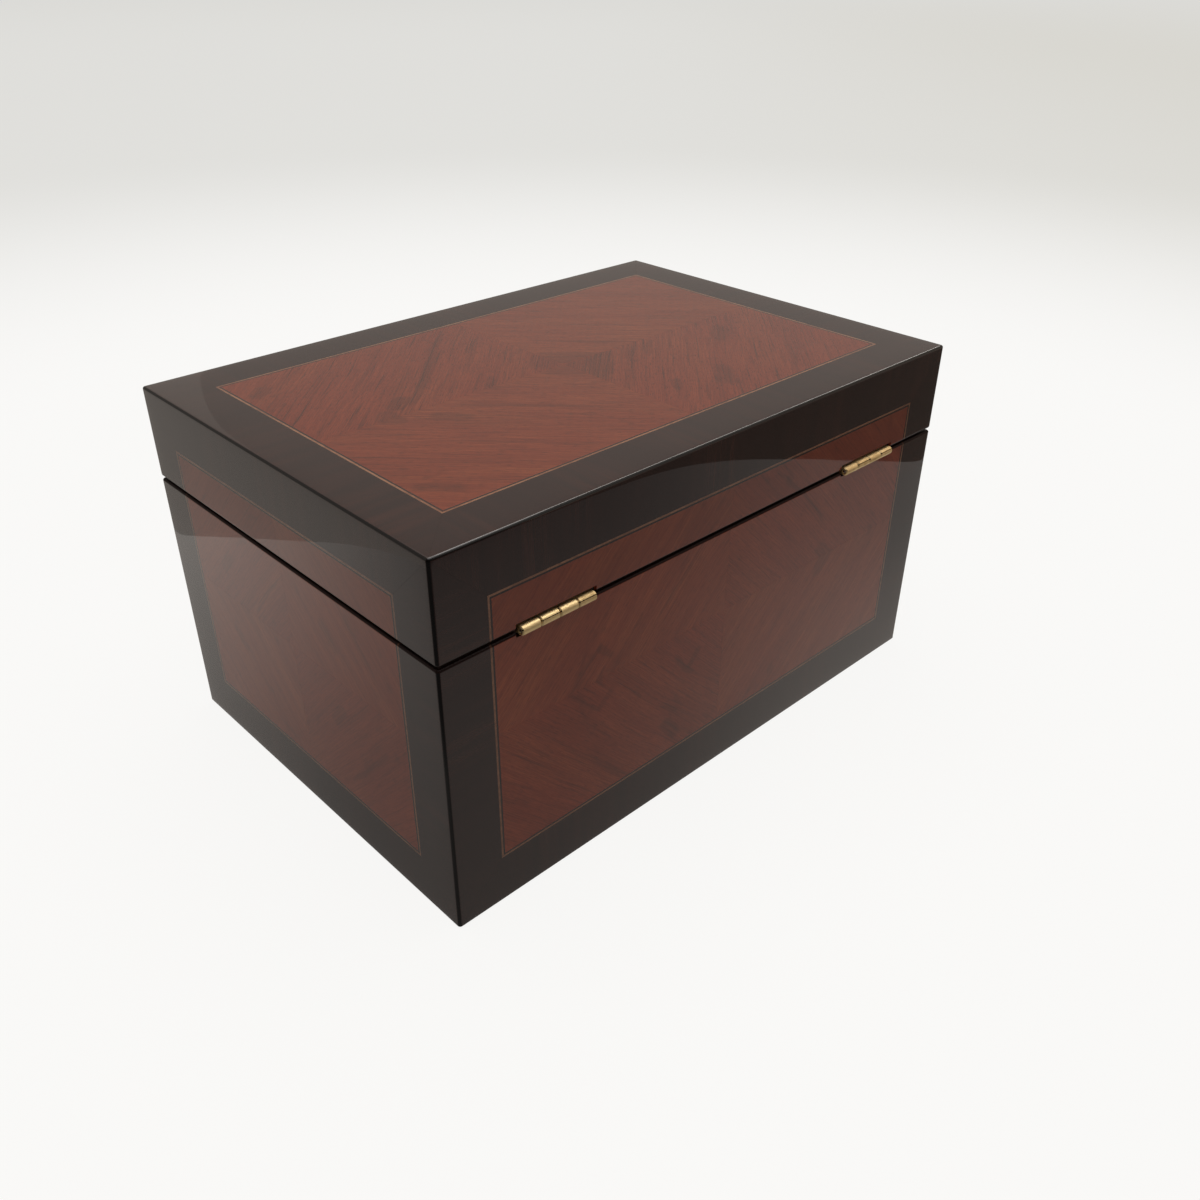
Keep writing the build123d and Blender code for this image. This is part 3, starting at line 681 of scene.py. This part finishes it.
def pushOut(build, faces, by):
    run = bmesh.ops.extrude_face_region(build, geom=faces)
    moved = [part for part in run["geom"] if isinstance(part, bmesh.types.BMVert)]
    bmesh.ops.translate(build, verts=moved, vec=by)


sharpAngle = math.radians(40)


def newPiece(name, mesh, body, slotName, material, *replaced):
    piece = bpy.data.objects.new(name, mesh)
    scene.collection.objects.link(piece)
    mesh.materials.append(material)
    for polygon in mesh.polygons:
        polygon.use_smooth = True
    mesh.set_sharp_from_angle(angle=sharpAngle)
    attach(piece, body)
    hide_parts(*replaced)
    return piece


# Lining boards wrapped in suede: a soft roll over the open edge, a slightly full face and mitred ends
liningLook = {
    "roll": 2.4 * mm,          # radius of the wrapped edge
    "backRoll": 1.1 * mm,      # and of its far side
    "arcSteps": 6,
    "fullness": 0.35 * mm,     # how far the face falls back towards its open edge
    "fullFrom": 0.4,           # and from which share of the thickness on
    "cell": 6.0 * mm,          # about one face of the mesh
    "uneven": 0.10 * mm,
    "ripple": 40,
    "rippleSeed": 90,
    "calm": 12.0 * mm,         # the cloth lies even this near to a mitre
    "lip": 0.6 * mm,           # the base lining is this much thinner above the rim
    "rim": 126.2 * mm,
    "rimSlope": 0.4 * mm,
}
faceTurns = {"back": 0, "left": 90, "front": 180, "right": 270}    # degrees from the back board


def liningProfile(thick, low, high, openEdge, hasLip):
    # points of the section: depth from the wall inwards, height
    roll, turn, steps = liningLook["roll"], liningLook["backRoll"], liningLook["arcSteps"]
    arc = [math.radians(90 * step / steps) for step in range(steps + 1)]
    end, other = (high, low) if openEdge == "top" else (low, high)
    way = 1 if openEdge == "top" else -1
    points = [(0.0, other), (thick, other)]
    rise = (end - way * roll) - other
    rows = max(2, round(abs(rise) / liningLook["cell"]))
    for row in range(1, rows):
        points.append((thick, other + rise * row / rows))
    for angle in arc:
        inwards, up = 1 - math.cos(angle), 1 - math.sin(angle)
        points.append((thick - roll * inwards, end - way * roll * up))
    back = liningLook["lip"] if hasLip else 0.0
    for angle in arc:
        inwards, up = 1 - math.sin(angle), 1 - math.cos(angle)
        points.append((back + turn * inwards, end - way * turn * up))
    if hasLip:
        points += [(back, liningLook["rim"]), (0.0, liningLook["rim"] - liningLook["rimSlope"])]
    return points


def liningMesh(name, face, nodeName, openEdge, hasLip):
    low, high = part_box(nodeName)
    along, away = (0, 1) if face in ("back", "front") else (1, 0)
    thick = high[away] - low[away]
    outer = max(abs(low[away]), abs(high[away]))
    length = high[along] - low[along]
    build = bmesh.new()
    points = liningProfile(thick, low[2], high[2], openEdge, hasLip)
    corners = [build.verts.new((-length / 2, outer - depth, height)) for depth, height in points]
    pushOut(build, [build.faces.new(corners)], (length, 0, 0))
    runs = [edge for edge in build.edges if abs(edge.verts[0].co.x - edge.verts[1].co.x) > length / 2]
    bmesh.ops.subdivide_edges(build, edges=runs, cuts=round(length / liningLook["cell"]))
    for sign in (-1, 1):
        bmesh.ops.bisect_plane(
            build, geom=build.verts[:] + build.edges[:] + build.faces[:], dist=1e-7, clear_outer=True,
            plane_co=Vector((sign * length / 2, outer, 0)), plane_no=Vector((sign, -1, 0)),
        )
        bmesh.ops.holes_fill(build, edges=[edge for edge in build.edges if edge.is_boundary])
    bmesh.ops.remove_doubles(build, verts=build.verts[:], dist=1e-6)
    middle = (low[2] + high[2]) / 2
    towardsOpen = (2 if openEdge == "top" else -2) / (high[2] - low[2])
    for vert in build.verts:
        depth = outer - vert.co.y
        share = max(0.0, (depth / thick - liningLook["fullFrom"]) / (1 - liningLook["fullFrom"]))
        thinned = max(0.0, (vert.co.z - middle) * towardsOpen) ** 4
        toMitre = min(1.0, max(0.0, length / 2 - abs(vert.co.x) - depth) / liningLook["calm"])
        ripple = liningLook["ripple"]
        spot = Vector((vert.co.x * ripple, vert.co.z * ripple, outer * liningLook["rippleSeed"]))
        rippled = noise.noise(spot) * liningLook["uneven"] * toMitre
        vert.co.y += share * (liningLook["fullness"] * thinned + liningLook["uneven"] + rippled)
    turned = Matrix.Rotation(math.radians(faceTurns[face]), 3, "Z")
    bmesh.ops.rotate(build, verts=build.verts[:], cent=(0, 0, 0), matrix=turned)
    bmesh.ops.recalc_face_normals(build, faces=build.faces[:])
    return toMesh(build, name)


for part, openEdge in (("base", "top"), ("lid", "bottom")):
    for face in faceTurns:
        nodeName = f"{part}_{face}_lining"
        mesh = liningMesh(nodeName + "_suede", face, nodeName, openEdge, part == "base")
        piece = newPiece(nodeName + "_suede", mesh, part, "suede", clothMaterials["suede"], nodeName)
print("linings wrapped")


# Pads: cloth blown up from a flat closed cover, then held to its height
padLook = {
    "cell": 3.6 * mm,
    "edge": 1.6 * mm,          # height of the cover's side before it swells
    "inset": 0.35 * mm,        # cover to the edge of the pad's space
    "glued": 0.1 * mm,         # the cover holds to its board up to this height
    "pressure": 5.0,
    "frames": 18,
    "quality": 6,
    "shrink": -0.012,          # a little more cloth than the board, so that it puckers at the edge
    "sideHeight": 0.62,        # shares of the pad's height: its side, and what the crown adds
    "crownHeight": 0.37,
    "crownReach": 34 * mm,     # how far in from the edge the crown is full
    "crownPower": 2.6,
    "clear": 0.05 * mm,        # kept free inside the edge of the pad's space
}


def padCover(name, wide, deep):
    cover = flatGrid(wide, deep, padLook["cell"], padLook["inset"])
    pushOut(cover, cover.faces[:], (0, 0, padLook["edge"]))
    half = padLook["edge"] / 2
    sides = [edge for edge in cover.edges if abs(edge.verts[0].co.z - edge.verts[1].co.z) > half]
    bmesh.ops.subdivide_edges(cover, edges=sides, cuts=1)
    bmesh.ops.recalc_face_normals(cover, faces=cover.faces[:])
    return toMesh(cover, name)


def swell(piece):
    held = piece.vertex_groups.new(name="glued")
    held.add([vert.index for vert in piece.data.vertices if vert.co.z < padLook["glued"]], 1.0, "REPLACE")
    softness = piece.modifiers.new("cover", "CLOTH")
    softness.settings.use_pressure = True
    softness.settings.uniform_pressure_force = padLook["pressure"]
    softness.settings.shrink_min = padLook["shrink"]
    softness.settings.vertex_group_mass = "glued"
    softness.settings.effector_weights.gravity = 0
    softness.settings.quality = padLook["quality"]
    softness.point_cache.frame_start = 1
    softness.point_cache.frame_end = padLook["frames"]
    for step in range(1, padLook["frames"] + 1):
        scene.frame_set(step)
    shaped = bpy.data.meshes.new_from_object(piece.evaluated_get(bpy.context.evaluated_depsgraph_get()))
    scene.frame_set(1)
    return shaped


def seatPad(name, nodeName, body, faceUp):
    low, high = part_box(nodeName)
    wide, deep, thick = high - low
    mesh = padCover(name, wide, deep)
    trial = bpy.data.objects.new(name + "_trial", mesh)
    scene.collection.objects.link(trial)
    mesh = swell(trial)
    bpy.data.objects.remove(trial)
    tallest = max(vert.co.z for vert in mesh.vertices)
    clear = padLook["clear"]
    for vert in mesh.vertices:
        inward = min(wide / 2 - abs(vert.co.x), deep / 2 - abs(vert.co.y))
        crown = 1 - (1 - min(max(inward, 0.0) / padLook["crownReach"], 1.0)) ** padLook["crownPower"]
        rise = max(vert.co.z, 0.0) / tallest
        vert.co.z = rise * thick * (padLook["sideHeight"] + padLook["crownHeight"] * crown)
        vert.co.x = max(-wide / 2 + clear, min(wide / 2 - clear, vert.co.x))
        vert.co.y = max(-deep / 2 + clear, min(deep / 2 - clear, vert.co.y))
    if not faceUp:
        mesh.transform(Matrix.Rotation(math.pi, 4, "X"))
    mesh.transform(Matrix.Translation((0, 0, low.z if faceUp else high.z)))
    piece = newPiece(name, mesh, body, "suede", clothMaterials["suede"], nodeName)
    rounded = piece.modifiers.new("rounded", "SUBSURF")
    rounded.levels = rounded.render_levels = 1


seatPad("base_floor_pad_suede", "base_floor_pad", "base", True)
seatPad("lid_top_pad_suede", "lid_top_pad", "lid", False)
print("pads filled")


# Felt under the base: one sheet, cut a little inside the edge
feltLook = {"cell": 6.0 * mm, "soft": 0.25 * mm, "uneven": 0.05 * mm, "under": 0.01 * mm, "ripple": 60}


def underlay():
    low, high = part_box("base_felt")
    wide, deep, thick = high - low
    sheet = flatGrid(wide, deep, feltLook["cell"])
    bmesh.ops.translate(sheet, verts=sheet.verts[:], vec=(0, 0, high.z))
    pushOut(sheet, sheet.faces[:], (0, 0, -thick))
    bmesh.ops.recalc_face_normals(sheet, faces=sheet.faces[:])
    folded = [edge for edge in sheet.edges if edge.is_manifold and edge.calc_face_angle() > sharpAngle]
    lower = [edge for edge in folded if max(vert.co.z for vert in edge.verts) < high.z - thick / 2]
    bmesh.ops.bevel(
        sheet, geom=lower, offset=feltLook["soft"], offset_type="OFFSET",
        segments=2, profile=0.5, affect="EDGES", material=-1,
    )
    for vert in sheet.verts:
        if vert.co.z < low.z + feltLook["under"]:
            vert.co.z += (1 + noise.noise(vert.co * feltLook["ripple"])) * feltLook["uneven"] / 2
    mesh = toMesh(sheet, "base_felt_cloth")
    piece = newPiece("base_felt_cloth", mesh, "base", "felt", clothMaterials["felt"], "base_felt")


underlay()
print("felt laid")


# Floor: pale paper for the camera, dimmer far off and to the right as painted shade, and for the gloss
# a glowing painted floor of a light tent, bright towards its corner, dim towards its open side and its right
# wall
floorLook = {
    "size": 14.0, "colour": (0.58, 0.575, 0.565),
    "near": (1.0, 0.993, 0.978), "far": (0.80, 0.793, 0.765), "farRight": (0.745, 0.730, 0.680),
    "paperReach": (0.55, 1.6), "rightReach": (-0.4, 2.4), "cameraShare": 0.90,
    "horizon": (0.767, 0.760, 0.731), "horizonReach": (3.0, 6.6),
    "glossTint": (1.0, 0.93, 0.85), "glossShare": 0.85,
    "brightLevel": 0.80, "middleLevel": 0.33, "darkLevel": 0.06,
    "middleReach": (-0.06, 0.22), "openReach": (0.27, 0.46), "rightDim": (0.10, 0.50, 1.0, 0.55),
    "endShade": ((0.145, 0.155), (0.15, 0.27, 0.30, -0.10)),    # painted shadow of the box, in front of its right end
}


def studioFloor(look):
    bench = Bench("studioFloor", {"Roughness": 0.9, "Specular IOR Level": 0.1})
    bench.paint("Base Color", look["colour"])
    x, y, _ = bench.split(bench.place())
    distance = bench.calc("SQRT", bench.plus(bench.calc("POWER", x, 2.0), bench.calc("POWER", y, 2.0)))
    outwards = bench.plus(x, y)
    sideways = bench.minus(y, x)
    beyond = bench.blend(bench.ease(sideways, *look["rightReach"]), look["far"], look["farRight"])
    beyond = bench.blend(bench.ease(distance, *look["horizonReach"]), beyond, look["horizon"])
    paper = bench.blend(bench.ease(distance, *look["paperReach"]), look["near"], beyond)
    level = bench.ease(outwards, *look["middleReach"], look["brightLevel"], look["middleLevel"])
    level = bench.times(level, bench.ease(sideways, *look["rightDim"]))
    # painted shadow: the gloss sees the floor darker in front of the box's right end
    shaded = bench.times(*(bench.ease(x, *part) for part in look["endShade"]))
    level = bench.times(level, bench.minus(1.0, shaded))
    dark = bench.ease(outwards, *look["openReach"], look["brightLevel"], look["darkLevel"])
    level = bench.calc("MINIMUM", level, dark)
    rays = bench.add("LightPath").outputs
    cameraShare = bench.times(rays["Is Camera Ray"], look["cameraShare"])
    glossShare = bench.times(rays["Is Glossy Ray"], look["glossShare"])
    mixed = bench.mixShaders(glossShare, bench.shader.outputs[0], bench.shadeless(look["glossTint"], level))
    bench.show(bench.mixShaders(cameraShare, mixed, bench.shadeless(paper)))
    build = bmesh.new()
    bmesh.ops.create_grid(build, x_segments=2, y_segments=2, size=look["size"] / 2)
    mesh = toMesh(build, "studioFloor")
    mesh.materials.append(bench.material)
    floor = bpy.data.objects.new("studioFloor", mesh)
    scene.collection.objects.link(floor)


# Glowing cards that only the gloss sees, painted light of the tent's walls: two floor points, height, and
# levels at two heights
wallLooks = [
    {
        "name": "studioWallBack", "from": (-0.106, -0.652), "to": (-0.692, -0.113), "high": 0.75,
        "levels": (0.42, 0.37), "heights": (0.1, 0.65), "tint": (1.0, 0.92, 0.83),
    },
    {
        "name": "studioWallLeft", "from": (-0.106, -0.652), "to": (0.425, -0.054), "high": 0.8,
        "levels": (0.45, 0.49), "heights": (0.04, 0.15), "tint": (1.0, 0.92, 0.83),
    },
    {
        "name": "studioWallRight", "from": (-0.692, -0.113), "to": (-0.139, 0.465), "high": 0.4,
        "levels": (0.12, 0.70), "heights": (0.09, 0.22), "tint": (1.0, 0.86, 0.72),
    },
]
# a long lamp over the tent, for the bright line along the upper back edge
stripLook = {
    "name": "studioStrip", "low": (-1.70, -0.24), "high": (-0.30, 0.0), "height": 1.0,
    "level": 8.5, "tint": (1.0, 0.96, 0.9),
}


def glossCard(bench, look, corners, level):
    build = bmesh.new()
    build.faces.new([build.verts.new(corner) for corner in corners])
    mesh = toMesh(build, look["name"])
    bench.show(bench.shadeless(look["tint"], level))
    mesh.materials.append(bench.material)
    card = bpy.data.objects.new(look["name"], mesh)
    scene.collection.objects.link(card)
    card.visible_camera = False
    card.visible_diffuse = False
    card.visible_shadow = False
    card.visible_transmission = False


def studioWall(look):
    start, end = Vector((*look["from"], 0.0)), Vector((*look["to"], 0.0))
    up = Vector((0, 0, look["high"]))
    bench = Bench(look["name"], {})
    level = bench.ease(bench.split(bench.place())[2], *look["heights"], *look["levels"])
    glossCard(bench, look, [start, end, end + up, start + up], level)


def studioStrip(look):
    (left, front), (right, back) = look["low"], look["high"]
    corners = [(left, front), (right, front), (right, back), (left, back)]
    corners = [(*corner, look["height"]) for corner in corners]
    glossCard(Bench(look["name"], {}), look, corners, look["level"])


# Lamps: one wide soft lamp overhead and an even sky. The gloss sees a bright room
# behind the tent's corner and a dim one on its open side
lightLook = {
    "sky": 0.30, "skyColour": (1.0, 0.99, 0.975), "backdrop": (0.745, 0.738, 0.712),
    "lampEnergy": 20.0, "lampSize": 1.6, "lampAt": (-0.05, -0.05, 1.5),
    "glossColour": (1.0, 0.94, 0.87), "glossBright": 0.85, "glossDark": 0.08,
    "openSide": (0.7, 0.714, 0.0), "openFrom": (-0.05, 0.15),
}


def lights(look):
    world = bpy.data.worlds.new("studioSky")
    scene.world = world
    world.use_nodes = True
    tree = world.node_tree

    def background(colour):
        node = tree.nodes.new("ShaderNodeBackground")
        node.inputs["Color"].default_value = (*colour, 1)
        return node

    sky = tree.nodes["Background"]
    sky.inputs["Color"].default_value = (*look["skyColour"], 1)
    sky.inputs["Strength"].default_value = look["sky"]
    towards = tree.nodes.new("ShaderNodeVectorMath")
    towards.operation = "DOT_PRODUCT"
    tree.links.new(tree.nodes.new("ShaderNodeTexCoord").outputs["Generated"], towards.inputs[0])
    towards.inputs[1].default_value = look["openSide"]
    level = tree.nodes.new("ShaderNodeMapRange")
    level.interpolation_type = "SMOOTHSTEP"
    tree.links.new(towards.outputs["Value"], level.inputs[0])
    for socket, value in zip(level.inputs[1:5], (*look["openFrom"], look["glossBright"], look["glossDark"])):
        socket.default_value = value
    room, backdrop = background(look["glossColour"]), background(look["backdrop"])
    tree.links.new(level.outputs[0], room.inputs["Strength"])
    rays = tree.nodes.new("ShaderNodeLightPath").outputs
    seen = sky.outputs[0]
    for ray, light in (("Is Glossy Ray", room), ("Is Camera Ray", backdrop)):
        choice = tree.nodes.new("ShaderNodeMixShader")
        for socket, part in zip(choice.inputs, (rays[ray], seen, light.outputs[0])):
            tree.links.new(part, socket)
        seen = choice.outputs[0]
    tree.links.new(seen, tree.nodes["World Output"].inputs["Surface"])
    lampData = bpy.data.lights.new("overhead", "AREA")
    lampData.energy = look["lampEnergy"]
    lampData.size = look["lampSize"]
    lamp = bpy.data.objects.new("overhead", lampData)
    lamp.location = look["lampAt"]
    scene.collection.objects.link(lamp)


studioFloor(floorLook)
for look in wallLooks:
    studioWall(look)
studioStrip(stripLook)
lights(lightLook)
print("studio lit")
